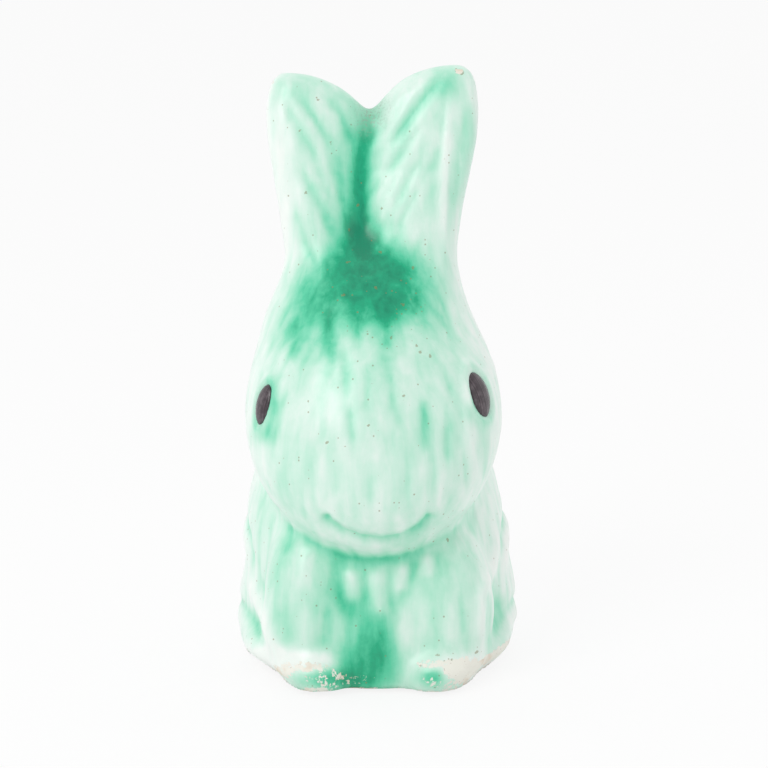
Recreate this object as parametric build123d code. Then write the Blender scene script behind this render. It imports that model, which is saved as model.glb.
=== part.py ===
from build123d import *
import os
from math import cos, hypot, radians, sin

# Slip-cast earthenware rabbit, sitting upright and facing -Y, with +Z up.
# The origin is on the foot plane, under the middle of the overall box.
# Lengths are in millimetres and angles in degrees.
# A place is given as across, back and height: back runs along +Y from the tip of the nose.
# The rabbit is the same on both sides, so its +X half is modelled and mirrored.

# Overall sizes: to the ear tips, across the clay of the haunches, and from nose to tail
HEIGHT = 100.0
WIDTH = 47.0
DEPTH = 60.0

# Layers of the fired ware
GLAZE_THICKNESS = 0.35
BOND_GAP = 0.05
WALL_THICKNESS = 4.0
BARE_FOOT_HEIGHT = 1.5

# Pour hole in the underside, below the middle of the trunk, where the slip was tipped out
POUR_HOLE_RADIUS = 5.0

# Head: an ellipsoid leaning back, its snub nose at the front of the box
HEAD_HEIGHT_SHARE = 0.446
HEAD_RADII_SHARES = (0.4426, 0.2933, 0.248)
HEAD_LEAN = 31.0

# Masses on the middle plane: place and three radii, as shares of width, depth and height
TRUNK_PLACE_SHARES = (0, 0.5667, 0.17)
TRUNK_RADII_SHARES = (0.4711, 0.4, 0.33)
NAPE_PLACE_SHARES = (0, 0.4917, 0.42)
NAPE_RADII_SHARES = (0.2889, 0.1833, 0.24)
CHEST_PLACE_SHARES = (0, 0.35, 0.07)
CHEST_RADII_SHARES = (0.3333, 0.2083, 0.2)
CROWN_PLACE_SHARES = (0, 0.4167, 0.57)
CROWN_RADII_SHARES = (0.3617, 0.2, 0.14)
TAIL_HEIGHT_SHARE = 0.12
TAIL_RADII_SHARES = (0.1556, 0.1, 0.08)

# Masses on each side: place and three radii, as the same shares
FORELEG_PLACE_SHARES = (0.2277, 0.2667, 0.11)
FORELEG_RADII_SHARES = (0.1702, 0.1333, 0.16)
PAW_PLACE_SHARES = (0.2111, 0.21, 0.032)
PAW_RADII_SHARES = (0.1378, 0.1267, 0.044)
HAUNCH_PLACE_SHARES = (0.2844, 0.5833, 0.075)
HAUNCH_RADII_SHARES = (0.2156, 0.25, 0.12)
HIND_FOOT_PLACE_SHARES = (0.36, 0.4417, 0.042)
HIND_FOOT_RADII_SHARES = (0.1156, 0.1917, 0.048)

# Ears: two lobes joined along the middle plane, each with a slanted round tip
EAR_ROOT_SHARE = 0.58
EAR_BACK_SHARE = 0.3083
EAR_WIDTH_SHARE = 0.3545
EAR_THICKNESS_SHARE = 0.2167
# height from root to tip, middle and half width across, front and back along the thickness
EAR_RING_SHARES = [
    (0.00, 0.365, 0.445, 0.00, 1.17),
    (0.24, 0.370, 0.455, 0.14, 1.10),
    (0.46, 0.395, 0.480, 0.28, 1.08),
    (0.66, 0.440, 0.530, 0.42, 1.09),
    (0.84, 0.460, 0.540, 0.54, 1.10),
    (1.02, 0.400, 0.500, 0.66, 1.12),
]
# outline of one ring: across from the inner edge to the outer, and along from front to back
EAR_OUTLINE_SHARES = [
    (0.00, 0.50),
    (0.10, 0.26),
    (0.30, 0.10),
    (0.55, 0.02),
    (0.78, 0.02),
    (0.93, 0.20),
    (1.00, 0.50),
    (0.92, 0.80),
    (0.68, 0.97),
    (0.38, 0.97),
    (0.12, 0.80),
]
# ellipsoid that rounds the tip off, across and back, its three radii, and the height that it starts at
EAR_TIP_PLACE_SHARES = (0.2919, 0.5083)
EAR_TIP_RADII_SHARES = (0.386, 0.1283, 0.216)
EAR_TIP_START_SHARE = 0.84

# Eyes: dark lenses set in oval sockets, one on each side of the head
EYE_WIDTH = 4.6
EYE_LENGTH = 6.4
EYE_HEIGHT_SHARE = 0.465
EYE_BACK_SHARE = 0.3667
EYE_TURN = 58.0
EYE_TILT = 12.0
EYE_DEPTH = 1.2
EYE_BULGE = 0.5
EYE_CLEARANCE = 0.06

# The glaze surface lies this far outside the clay
COAT = BOND_GAP + GLAZE_THICKNESS
NOSE = -DEPTH / 2
# Cutting blocks and bars reach past the rabbit by this much
OVERRUN = 10.0


def measured(shares):
    """Three lengths, from their shares of the width, depth and height."""
    return tuple(share * size for share, size in zip(shares, (WIDTH, DEPTH, HEIGHT)))


def ellipsoid(point, radii, growth):
    """A unit sphere, its seam on the -X side, scaled to three radii; back is from the nose."""
    across, back, height = point
    egg = scale(Rot(0, 0, 180) * Sphere(1), by=tuple(radius + growth for radius in radii))
    return Pos(across, NOSE + back, height) * egg


def mass(place_shares, radii_shares, growth):
    return ellipsoid(measured(place_shares), measured(radii_shares), growth)


def slab(low, high):
    """A level slab wider than the rabbit, between two heights."""
    side = DEPTH + HEIGHT
    return Pos(0, 0, low) * Box(side, side, high - low, align=(Align.CENTER, Align.CENTER, Align.MIN))


def head(growth):
    radii = measured(HEAD_RADII_SHARES)
    lean = radians(HEAD_LEAN)
    reach = hypot((radii[1] + COAT) * cos(lean), (radii[2] + COAT) * sin(lean))
    egg = Pos(0, -NOSE, 0) * ellipsoid((0, 0, 0), radii, growth)
    return Pos(0, NOSE + reach, HEIGHT * HEAD_HEIGHT_SHARE) * Rot(-HEAD_LEAN, 0, 0) * egg


def offset_outline(points, growth):
    """The closed outline, drawn anticlockwise, moved outwards along each point's own normal."""
    moved = []
    for i, (x, y) in enumerate(points):
        x0, y0 = points[i - 1]
        x1, y1 = points[(i + 1) % len(points)]
        along = Vector(x1 - x0, y1 - y0).normalized()
        moved.append((x + along.Y * growth, y - along.X * growth))
    return moved


def ear_ring(ring_shares, growth):
    """One closed ring of the ear, with evenly spaced knots so that the rings loft cleanly."""
    height_share, middle_share, half_share, front_share, back_share = ring_shares
    width, thickness, rise = measured((EAR_WIDTH_SHARE, EAR_THICKNESS_SHARE, 1 - EAR_ROOT_SHARE))
    middle = width * middle_share
    half = width * half_share
    front = NOSE + DEPTH * EAR_BACK_SHARE + thickness * front_share
    back = NOSE + DEPTH * EAR_BACK_SHARE + thickness * back_share
    height = HEIGHT - rise * (1 - height_share)
    outline = [
        (middle + half * (2 * across - 1), front + (back - front) * along)
        for across, along in EAR_OUTLINE_SHARES
    ]
    points = [(x, y, height) for x, y in offset_outline(outline, growth)]
    knot_shares = [i / len(points) for i in range(len(points) + 1)]
    return Wire([Edge.make_spline(points, periodic=True, parameters=knot_shares)])


def ear(growth):
    """The +X ear: a lofted lobe trimmed by an ellipsoid to its round tip."""
    lobe = Solid.make_loft([ear_ring(ring_shares, growth) for ring_shares in EAR_RING_SHARES])
    radii = measured(EAR_TIP_RADII_SHARES)
    across, back = measured(EAR_TIP_PLACE_SHARES)
    tip = ellipsoid((across, back, HEIGHT - COAT - radii[2]), radii, growth)
    return lobe - (slab(HEIGHT * EAR_TIP_START_SHARE, HEIGHT + OVERRUN) - tip)


def skin(growth):
    """The outside of the rabbit, grown by growth, with the limbs of the +X side alone."""
    tail_radii = measured(TAIL_RADII_SHARES)
    tail_place = (0, DEPTH - COAT - tail_radii[1], HEIGHT * TAIL_HEIGHT_SHARE)
    return mass(TRUNK_PLACE_SHARES, TRUNK_RADII_SHARES, growth).fuse(
        mass(NAPE_PLACE_SHARES, NAPE_RADII_SHARES, growth),
        mass(CHEST_PLACE_SHARES, CHEST_RADII_SHARES, growth),
        mass(CROWN_PLACE_SHARES, CROWN_RADII_SHARES, growth),
        ellipsoid(tail_place, tail_radii, growth),
        head(growth),
        ear(growth),
        mass(FORELEG_PLACE_SHARES, FORELEG_RADII_SHARES, growth),
        mass(PAW_PLACE_SHARES, PAW_RADII_SHARES, growth),
        mass(HAUNCH_PLACE_SHARES, HAUNCH_RADII_SHARES, growth),
        mass(HIND_FOOT_PLACE_SHARES, HIND_FOOT_RADII_SHARES, growth),
    )


def eye_bar(growth):
    """An oval bar through the +X eye, pointing straight out of the head."""
    oval = Rot(0, 0, -EYE_TILT) * Ellipse(EYE_WIDTH / 2 + growth, EYE_LENGTH / 2 + growth)
    bar = extrude(oval, WIDTH + OVERRUN)
    across, back, height = measured((0, EYE_BACK_SHARE, EYE_HEIGHT_SHARE))
    return Pos(across, NOSE + back, height) * Rot(0, 0, EYE_TURN) * Rot(90, 0, 0) * bar


def cavity():
    """The hollow that the drained slip leaves inside the trunk and head."""
    hollow = mass(TRUNK_PLACE_SHARES, TRUNK_RADII_SHARES, -WALL_THICKNESS).fuse(
        mass(NAPE_PLACE_SHARES, NAPE_RADII_SHARES, -WALL_THICKNESS),
        head(-WALL_THICKNESS),
    )
    bore = extrude(Circle(POUR_HOLE_RADIUS), OVERRUN + 2 * WALL_THICKNESS)
    hole_back = DEPTH * TRUNK_PLACE_SHARES[1]
    return (hollow - slab(-HEIGHT, WALL_THICKNESS)) + Pos(0, NOSE + hole_back, -OVERRUN) * bore


def both_sides(body):
    """The +X half of a body and its mirror image as one solid."""
    half = body & Box(HEIGHT, 2 * DEPTH, 3 * HEIGHT, align=(Align.MIN, Align.CENTER, Align.CENTER))
    return half + mirror(half, Plane.YZ)


def clay_body():
    """The hollow casting, flat underneath, with an oval socket for each eye."""
    socket = eye_bar(0) - head(-EYE_DEPTH)
    return both_sides(skin(0) - slab(-HEIGHT, 0) - cavity() - socket)


def glaze_coat():
    """The skin of glaze, wiped off round the foot and open at the eyes."""
    coat = skin(COAT) - skin(BOND_GAP)
    return both_sides(coat - slab(-HEIGHT, BARE_FOOT_HEIGHT) - eye_bar(0))


def left_eye():
    """The lens on the rabbit's own left, at +X, bedded in its socket and standing proud of the glaze."""
    return (eye_bar(-EYE_CLEARANCE) & head(COAT + EYE_BULGE)) - head(EYE_CLEARANCE - EYE_DEPTH)


if __name__ == "__main__":
    os.makedirs("parts", exist_ok=True)
    lens = left_eye()
    nodes = {
        "clay_body": clay_body(),
        "glaze_coat": glaze_coat(),
        "left_eye": lens,
        "right_eye": mirror(lens, Plane.YZ),
    }
    for name, node in nodes.items():
        export_step(node, "parts/" + name + ".step")
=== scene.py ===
import bpy
import numpy as np
from mathutils import Matrix, Vector


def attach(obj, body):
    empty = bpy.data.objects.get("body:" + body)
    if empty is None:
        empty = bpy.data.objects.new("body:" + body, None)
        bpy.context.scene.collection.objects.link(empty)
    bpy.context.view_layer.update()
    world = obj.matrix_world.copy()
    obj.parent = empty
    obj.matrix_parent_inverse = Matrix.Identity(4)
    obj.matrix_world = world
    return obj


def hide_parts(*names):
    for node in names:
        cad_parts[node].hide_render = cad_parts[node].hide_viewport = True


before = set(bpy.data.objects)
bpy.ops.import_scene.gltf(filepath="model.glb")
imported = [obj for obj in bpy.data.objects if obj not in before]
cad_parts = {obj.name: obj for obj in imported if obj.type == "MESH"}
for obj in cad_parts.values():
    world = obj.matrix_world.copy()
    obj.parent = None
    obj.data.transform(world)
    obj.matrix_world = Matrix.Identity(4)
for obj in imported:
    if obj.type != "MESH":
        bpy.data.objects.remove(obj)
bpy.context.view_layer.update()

# The rabbit's surface is worked out here in millimetres and written to Blender in metres.
MM = 0.001
HEIGHT = 100.0
WIDTH = 47.0
DEPTH = 60.0
SIZE = np.array([WIDTH, DEPTH, HEIGHT])
NOSE = -DEPTH / 2
COAT = 0.4

# ---- the frame of the photograph, in pixels, and the camera that took it
FRAME_PIXELS = 768
CAMERA_ELEVATION = 12.0
CAMERA_DISTANCE = 492.0
CAMERA_TARGET = np.array([0.0, 0.0, 50.0])
CAMERA_FOCAL = 137.0
SENSOR = 36.0
CAMERA_ROLL = 0.55
CAMERA_SHIFT_PIXELS = (-11.0, -16.5)

# The masses, as in the solids but for the one that fills the gap between the paws: place and radii as
# shares of width, depth and height, and the blend in mm with the masses before it
MASSES = {
    "trunk": ((0, 0.5667, 0.17), (0.4711, 0.4, 0.33), 0.0),
    "nape": ((0, 0.4917, 0.42), (0.2889, 0.1833, 0.24), 6.0),
    "chest": ((0, 0.35, 0.07), (0.3333, 0.2083, 0.2), 3.0),
    "tail": ((0, 0.8933, 0.12), (0.1556, 0.1, 0.08), 2.5),
    "foreleg": ((0.2277, 0.2667, 0.11), (0.1702, 0.1333, 0.16), 3.0),
    "paw": ((0.2111, 0.21, 0.032), (0.1378, 0.1267, 0.044), 2.5),
    "haunch": ((0.2844, 0.5833, 0.075), (0.2156, 0.25, 0.12), 2.5),
    "hind_foot": ((0.36, 0.4417, 0.042), (0.1156, 0.1917, 0.048), 2.5),
    "between": ((0, 0.2083, 0.045), (0.16, 0.075, 0.11), 3.0),
}
PAIRED = ("foreleg", "paw", "haunch", "hind_foot")
HEAD_HEIGHT_SHARE = 0.446
HEAD_RADII_SHARES = (0.4426, 0.2933, 0.248)
HEAD_LEAN = 31.0
HEAD_BLEND = 3.4
CROWN_PLACE_SHARES = (0, 0.4167, 0.57)
CROWN_RADII_SHARES = (0.3617, 0.2, 0.14)
CROWN_BLEND = 4.0
EAR_BLEND = 5.0
EAR_VALLEY_BLEND = 2.6
CHIN_LIFT = 1.4
CHIN_HEIGHTS = (24, 40)
EAR_ROOT_SHARE = 0.58
EAR_BACK_SHARE = 0.3083
EAR_WIDTH_SHARE = 0.3545
EAR_THICKNESS_SHARE = 0.2167
EAR_RINGS = np.array([
    (0.00, 0.365, 0.445, 0.00, 1.17),
    (0.24, 0.370, 0.455, 0.14, 1.10),
    (0.46, 0.395, 0.480, 0.28, 1.08),
    (0.66, 0.440, 0.530, 0.42, 1.09),
    (0.84, 0.460, 0.540, 0.54, 1.10),
    (1.02, 0.400, 0.500, 0.66, 1.12),
])
EAR_OUTLINE = np.array([
    (0.00, 0.50), (0.10, 0.26), (0.30, 0.10), (0.55, 0.02), (0.78, 0.02), (0.93, 0.20),
    (1.00, 0.50), (0.92, 0.80), (0.68, 0.97), (0.38, 0.97), (0.12, 0.80),
])
# The ellipsoid that rounds off an ear's tip, in mm, and how it takes over from the ear below
EAR_TIP_PLACE = np.array([13.72, 0.5, 78.0])
EAR_TIP_RADII = np.array([18.14, 7.7, 21.6]) + COAT
EAR_TIP_START = 84.0
EAR_TIP_EASE = 0.3
EAR_TIP_BLEND = 2.0
EAR_ROOT_SUNK = 6.0
FOOT_BLEND = 0.8

# The finest steps that the surfaces are looked for in, and the corners of the box around them
PITCH = 0.47
CLAY_PITCH = 0.8
LOW = (-26.0, -33.0, -2.0)
HIGH = (26.0, 33.0, 103.0)
# A coarse grid of this many steps tells where the fine one is needed, and how near in coarse steps
COARSE_STEPS = 4
COARSE_MARGIN = 2.2

# The glaze stops above the foot plane, and its rim turns inwards
GLAZE_FOOT = 0.9
GLAZE_LIP = 1.1

# The clay lies inside the glaze's surface, further in where grooves are cut above the foot
CLAY_INSET = 0.45
CLAY_INSET_ABOVE_FOOT = 1.2
WALL = 4.0
HOLE_RADIUS = 5.0
HOLE_REACH = 2.0
CLAY_FOOT_BLEND = 0.6
HOLLOW_BLEND = 0.5
HOLE_BACK = NOSE + DEPTH * MASSES["trunk"][0][1]

# How the real rabbit strays from an even one: the valley of the ears leans towards its right,
# the left ear is wider at its outer edge, the left temple is drawn in, the hips sit to the left,
# the paws come together in front (shares, right and left), and the left ear tip is the higher one
VALLEY_LEAN = 1.5
EAR_EDGE_GROWTH = 0.6
TEMPLE_DIP = 1.3
HIP_SHIFT = 0.55
TOES_DRAWN_IN = (0.13, 0.07)
RIGHT_EAR_DROP = 0.25
EAR_TIPS_APART = 1.05


def smooth_step(low, high, value):
    """0 below low, 1 above high, smooth between."""
    t = np.clip((value - low) / (high - low), 0, 1)
    return t * t * (3 - 2 * t)


def smooth_min(a, b, blend):
    """The lower of two fields, rounded where they meet."""
    if blend <= 0:
        return np.minimum(a, b)
    h = np.maximum(blend - np.abs(a - b), 0) / blend
    return np.minimum(a, b) - h * h * blend / 4


def smooth_max(a, b, blend):
    """The higher of two fields, rounded where they meet."""
    return -smooth_min(-a, -b, blend)


def hump(value, middle, width):
    """1 at the middle, falling away softly on both sides."""
    return np.exp(-(((value - middle) / width) ** 2))


def egg(points, centre, radii, lean=0.0):
    """About how far each point lies outside an ellipsoid that leans back."""
    q = points - centre
    if lean:
        c, s = np.cos(np.radians(lean)), np.sin(np.radians(lean))
        q = np.stack([q[:, 0], c * q[:, 1] - s * q[:, 2], s * q[:, 1] + c * q[:, 2]], 1)
    near = np.sqrt((q / radii) ** 2 @ np.ones(3))
    far = np.sqrt((q / radii**2) ** 2 @ np.ones(3))
    return near * (near - 1) / np.maximum(far, 1e-6)


def mass_size(name):
    """A mass's centre, radii and blend in mm."""
    place, radii, blend = MASSES[name]
    return place * SIZE + (0, NOSE, 0), radii * SIZE, blend


HEAD_RADII = HEAD_RADII_SHARES * SIZE + COAT
HEAD_REACH = np.hypot(
    HEAD_RADII[1] * np.cos(np.radians(HEAD_LEAN)), HEAD_RADII[2] * np.sin(np.radians(HEAD_LEAN))
)
HEAD_CENTRE = np.array([0, NOSE + HEAD_REACH, HEIGHT * HEAD_HEIGHT_SHARE])

CROWN_CENTRE = CROWN_PLACE_SHARES * SIZE + (0, NOSE, 0)
CROWN_RADII = CROWN_RADII_SHARES * SIZE + COAT

# The ear's outline as a radius for each direction round its middle, and its rings as smooth curves of height
_outline = EAR_OUTLINE * 2 - 1
_turns = np.arctan2(_outline[:, 1], _outline[:, 0])
_reach = np.hypot(_outline[:, 0], _outline[:, 1])
_wave = np.array([[np.cos(k * t) for k in range(4)] + [np.sin(k * t) for k in range(1, 4)] for t in _turns])
EAR_WAVE = np.linalg.lstsq(_wave, _reach, rcond=None)[0]
EAR_CURVES = [np.polyfit(EAR_RINGS[:, 0], EAR_RINGS[:, column], 4) for column in range(1, 5)]


def ear_lobe(points, side):
    """About how far each point lies outside one ear."""
    x, y, z = points[:, 0] * side, points[:, 1], points[:, 2]
    rise = HEIGHT * (1 - EAR_ROOT_SHARE)
    share = np.clip((z - HEIGHT * EAR_ROOT_SHARE) / rise, -0.1, 1.05)
    middle, half, front, back = [np.polyval(curve, share) for curve in EAR_CURVES]
    middle = middle * WIDTH * EAR_WIDTH_SHARE
    half = half * WIDTH * EAR_WIDTH_SHARE
    start = NOSE + DEPTH * EAR_BACK_SHARE
    thick = DEPTH * EAR_THICKNESS_SHARE
    depth_middle = start + thick * (front + back) / 2
    depth_half = thick * (back - front) / 2
    u, v = (x - middle) / half, (y - depth_middle) / depth_half
    turn, reach = np.arctan2(v, u), np.hypot(u, v)
    limit = EAR_WAVE[0] + sum(
        EAR_WAVE[k] * np.cos(k * turn) + EAR_WAVE[k + 3] * np.sin(k * turn) for k in (1, 2, 3)
    )
    span = np.hypot(x - middle, y - depth_middle)
    lobe = span * (1 - limit / np.maximum(reach, 1e-3)) - COAT
    lobe = np.where(reach < 1e-2, -depth_half, lobe)
    tip = egg(np.stack([x, y, np.maximum(z, EAR_TIP_PLACE[2])], 1), EAR_TIP_PLACE, EAR_TIP_RADII)
    tip = tip - EAR_TIP_EASE * np.maximum(EAR_TIP_START - z, 0)
    root = HEIGHT * EAR_ROOT_SHARE - EAR_ROOT_SUNK - z
    return smooth_max(np.maximum(lobe, root), tip, EAR_TIP_BLEND)


def lopsided(points):
    """The even rabbit's point for each point of the real, slightly uneven one."""
    x, y, z = points.T
    valley = VALLEY_LEAN * smooth_step(58, 66, z) * (1 - smooth_step(76, 93, z)) * hump(x, 0, 7)
    ear_edge = EAR_EDGE_GROWTH * smooth_step(74, 90, z) * smooth_step(8, 16, x)
    temple = TEMPLE_DIP * smooth_step(5, 14, x) * hump(z, 61.5, 6.5)
    hips = HIP_SHIFT * hump(z, 13, 9)
    front = 1 - smooth_step(-8, 0, y)
    toes = x * np.where(x < 0, *TOES_DRAWN_IN) * (1 - smooth_step(0, 4.5, z)) * front
    tips = smooth_step(60, 100, z) * (RIGHT_EAR_DROP - EAR_TIPS_APART * smooth_step(-2, 6, x))
    return np.stack([x + valley - ear_edge + temple - hips + toes, y, z + tips], 1)


def head_field(points):
    """About how far each point lies outside the head, its chin drawn up."""
    lift = CHIN_LIFT * (1 - smooth_step(*CHIN_HEIGHTS, points[:, 2]))
    return egg(points - np.outer(lift, (0, 0, 1)), HEAD_CENTRE, HEAD_RADII, HEAD_LEAN)


def body_field(points):
    """About how far each point lies outside the body below the ears."""
    folded = np.column_stack([np.abs(points[:, 0]), points[:, 1:]])
    field = None
    for name in MASSES:
        centre, radii, blend = mass_size(name)
        one = egg(folded if name in PAIRED else points, centre, radii + COAT)
        field = one if field is None else smooth_min(field, one, blend)
    return field


def rabbit_field(points):
    """About how far each point lies outside the glazed rabbit."""
    points = lopsided(points)
    head = smooth_min(head_field(points), egg(points, CROWN_CENTRE, CROWN_RADII), CROWN_BLEND)
    ears = smooth_min(ear_lobe(points, 1), ear_lobe(points, -1), EAR_VALLEY_BLEND)
    top = smooth_min(head, ears, EAR_BLEND)
    field = smooth_min(body_field(points), top, HEAD_BLEND)
    return smooth_max(field, -points[:, 2], FOOT_BLEND)


def slope(field, points, step=0.02):
    """The field and its slope at each point."""
    value = field(points)
    parts = []
    for axis in range(3):
        move = np.zeros(3)
        move[axis] = step
        parts.append((field(points + move) - field(points - move)) / (2 * step))
    return value, np.stack(parts, 1)


def settle(field, points, turns):
    """Moves points onto the field's zero level."""
    for _ in range(turns):
        value, rise = slope(field, points)
        points = points - (value / np.maximum((rise * rise).sum(1), 0.05))[:, None] * rise
    return points


def skin(field, low, high, pitch):
    """Quads all round the zero level of a field: points, and faces turned outwards."""
    low, high = np.array(low, float), np.array(high, float)
    coarse = COARSE_STEPS * pitch
    count = np.ceil((high - low) / coarse).astype(int) + 1
    grid = np.moveaxis(np.indices(count), 0, -1)
    rough = field(low + grid.reshape(-1, 3) * coarse).reshape(count)
    fine = np.moveaxis(np.indices((count - 1) * COARSE_STEPS + 1), 0, -1)
    values = rough[tuple(np.moveaxis((fine + COARSE_STEPS // 2) // COARSE_STEPS, -1, 0))]
    close = np.abs(values) < COARSE_MARGIN * coarse
    values[close] = field(low + fine[close] * pitch)
    # a point in each cell that the surface crosses
    inside = values < 0
    shape = np.array(inside.shape) - 1
    corners = np.zeros(shape, int)
    for i, j, k in np.ndindex(2, 2, 2):
        corners += inside[i:i + shape[0], j:j + shape[1], k:k + shape[2]]
    crossed = (corners > 0) & (corners < 8)
    index = np.full(shape, -1)
    index[crossed] = np.arange(crossed.sum())
    points = low + (np.argwhere(crossed) + 0.5) * pitch
    # a quad round each grid edge that the surface crosses
    faces = []
    for axis in range(3):
        first, second = (axis + 1) % 3, (axis + 2) % 3
        near = np.take(inside, range(inside.shape[axis] - 1), axis)
        beyond = np.take(inside, range(1, inside.shape[axis]), axis)
        edges = np.argwhere(near != beyond)
        outward = near[near != beyond]
        one, two = np.eye(3, dtype=int)[first], np.eye(3, dtype=int)[second]
        ring = [edges, edges - one, edges - one - two, edges - two]
        quad = np.stack([index[tuple(cells.T)] for cells in ring], 1)
        faces.append(np.where(outward[:, None], quad[:, ::-1], quad))
    return points, np.concatenate(faces)


def edges_of(faces):
    """The edges of a mesh of quads, each once."""
    pairs = [np.stack([faces[:, k], np.roll(faces, -1, 1)[:, k]], 1) for k in range(4)]
    return np.unique(np.sort(np.concatenate(pairs), 1), axis=0)


def spread(values, edges, turns):
    """Averages values with their neighbours' over and over."""
    count = len(values)
    one, other = edges.T
    links = np.bincount(edges.ravel(), minlength=count)[:, None]
    values = values.reshape(count, -1)
    for _ in range(turns):
        total = np.stack([
            np.bincount(one, part[other], count) + np.bincount(other, part[one], count)
            for part in values.T
        ], 1)
        values = 0.5 * values + 0.5 * total / links
    return values


def build_skin(field, low, high, pitch, turns):
    """A field's surface with evenly spread points: points, faces and edges."""
    points, faces = skin(field, low, high, pitch)
    points = settle(field, points, 3)
    edges = edges_of(faces)
    for _ in range(turns):
        points = settle(field, spread(points, edges, 1), 1)
    return settle(field, points, 2), faces, edges


def camera_axes():
    """The way the camera looks, its up and its right."""
    e, r = np.radians(CAMERA_ELEVATION), np.radians(CAMERA_ROLL)
    ahead = np.array([0, np.cos(e), -np.sin(e)])
    up = np.array([0, np.sin(e), np.cos(e)])
    right = np.array([1.0, 0, 0])
    return ahead, np.sin(r) * right + np.cos(r) * up, np.cos(r) * right - np.sin(r) * up


def seen(points):
    """Where the photograph's camera sees each point, in pixels."""
    ahead, up, right = camera_axes()
    q = points - (CAMERA_TARGET - ahead * CAMERA_DISTANCE)
    scale = CAMERA_FOCAL / SENSOR * FRAME_PIXELS / (q @ ahead)
    half = FRAME_PIXELS / 2
    return np.stack([
        half + CAMERA_SHIFT_PIXELS[0] + scale * (q @ right),
        half + CAMERA_SHIFT_PIXELS[1] - scale * (q @ up),
    ], 1)


def placed(name, data):
    """A new object in the scene."""
    made = bpy.data.objects.new(name, data)
    bpy.context.scene.collection.objects.link(made)
    return made


def add_layer(mesh, key, values):
    """Gives each vertex a value that the material reads."""
    layer = mesh.attributes.new(key, "FLOAT", "POINT")
    layer.data.foreach_set("value", values.astype(np.float32))


def to_mesh(name, points, faces, layers=()):
    """A new object from points in mm and faces that all have as many sides."""
    mesh = bpy.data.meshes.new(name)
    mesh.vertices.add(len(points))
    mesh.vertices.foreach_set("co", (points * MM).astype(np.float32).ravel())
    sides = faces.shape[1]
    mesh.loops.add(faces.size)
    mesh.loops.foreach_set("vertex_index", faces.ravel().astype(np.int32))
    mesh.polygons.add(len(faces))
    mesh.polygons.foreach_set("loop_start", np.arange(len(faces), dtype=np.int32) * sides)
    mesh.update(calc_edges=True)
    mesh.validate()
    mesh.shade_smooth()
    for key, values in dict(layers).items():
        add_layer(mesh, key, values)
    return placed(name, mesh)


def trimmed(points, faces, keep):
    """The points of the faces whose points are all kept, and those faces with the points numbered anew."""
    faces = faces[keep[faces].all(1)]
    used = np.unique(faces)
    number = np.full(len(points), -1)
    number[used] = np.arange(len(used))
    return used, number[faces]


# ---- the smooth rabbit, and which of its parts the photograph's camera sees
EAR_HEIGHTS = (60, 66)
PART_BLEND = 0.6
base, quads, links = build_skin(rabbit_field, LOW, HIGH, PITCH, 6)
_, normal = slope(rabbit_field, base)
normal /= np.linalg.norm(normal, axis=1)[:, None]
pixels = seen(base)
VIEW = camera_axes()[0]
facing = smooth_step(0.02, 0.3, -(normal @ VIEW))
head_near = np.minimum(head_field(base), egg(base, CROWN_CENTRE, CROWN_RADII))
body_near = body_field(base)
ear_part = smooth_step(*EAR_HEIGHTS, base[:, 2])
head_part = smooth_step(-PART_BLEND, PART_BLEND, body_near - head_near) * (1 - ear_part)
body_part = smooth_step(-PART_BLEND, PART_BLEND, head_near - body_near) * (1 - ear_part)
PARTS = {
    "ear": ear_part * facing,
    "head": (1 - body_part) * facing,
    "face": head_part * facing,
    "mouth": head_part * facing,
    "body": body_part * facing,
}
relief = np.zeros(len(base))
glaze_pool_and_painted_light = np.zeros(len(base))


def oval(middle, radii):
    """How far each vertex lies from a pixel of the photograph, squared, and 1 at the oval's edge."""
    return ((pixels - middle) / radii) ** 2 @ np.ones(2)


def along_line(points, line):
    """The distance of each point from a line of points, and how far along the line it lies, from 0 to 1."""
    line = np.array(line, float)
    runs = np.linalg.norm(np.diff(line, axis=0), axis=1)
    starts = np.concatenate([[0], np.cumsum(runs)])
    best = np.full(len(points), 1e9)
    place = np.zeros(len(points))
    for k, run in enumerate(runs):
        direction = (line[k + 1] - line[k]) / run
        t = np.clip((points - line[k]) @ direction, 0, run)
        away = np.linalg.norm(points - line[k] - t[:, None] * direction, axis=1)
        nearer = away < best
        best = np.where(nearer, away, best)
        place = np.where(nearer, (starts[k] + t) / starts[-1], place)
    return best, place


# What is left of a stroke where it ends
STROKE_ENDS = 0.15


def stroke(points, line, width, taper=0.3):
    """A soft stroke round a line, 1 along its middle, fading at its ends."""
    away, place = along_line(points, line)
    ends = smooth_step(0, taper, place) * smooth_step(0, taper, 1 - place) if taper else 1
    return hump(away, 0, width) * (STROKE_ENDS + (1 - STROKE_ENDS) * ends)


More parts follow.
